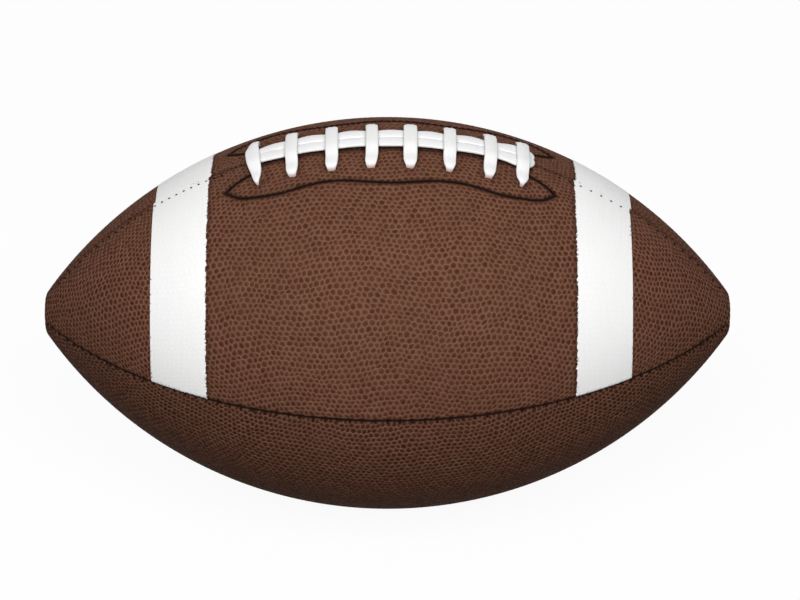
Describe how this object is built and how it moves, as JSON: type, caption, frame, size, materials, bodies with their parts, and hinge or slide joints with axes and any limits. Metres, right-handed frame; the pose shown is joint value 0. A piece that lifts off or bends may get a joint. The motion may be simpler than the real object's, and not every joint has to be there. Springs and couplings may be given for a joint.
{
  "type": "american football",
  "caption": "Small youth American football: four pebbled brown panels, a white lace along the top seam, two white stripes and a rubber valve.",
  "frame": {"origin": "the ball's middle, on its long axis halfway between the noses", "axes": "+X along the ball, to the right when the lace is up and the seen side is in front; +Z out through the lace; -Y to the front"},
  "size_m": [0.255, 0.146, 0.1498],
  "materials": {
    "leather": "satin",
    "lining_cloth": "matte",
    "facing_leather": "matte",
    "bladder_rubber": "satin",
    "valve_rubber": "matte",
    "lace_vinyl": "satin",
    "stripe_film": "satin",
    "thread": "matte"
  },
  "bodies": {
    "root": {"panel_front_upper": "leather", "panel_rear_upper": "leather", "panel_front_lower": "leather", "panel_rear_lower": "leather", "lining_front_upper": "lining_cloth", "lining_rear_upper": "lining_cloth", "lining_front_lower": "lining_cloth", "lining_rear_lower": "lining_cloth", "guard_flap": "lining_cloth", "facing_front": "facing_leather", "facing_rear": "facing_leather", "facing_stitch_front": "thread", "facing_stitch_rear": "thread", "stripe_front_left": "stripe_film", "stripe_front_right": "stripe_film", "stripe_rear_left": "stripe_film", "stripe_rear_right": "stripe_film", "bladder": "bladder_rubber", "valve_housing": "valve_rubber", "valve_plug": "valve_rubber", "lace": "lace_vinyl", "seam_thread_front": "thread", "seam_thread_bottom": "thread", "seam_thread_rear": "thread", "seam_thread_lace_left": "thread", "seam_thread_lace_right": "thread"}
  },
  "joints": []
}
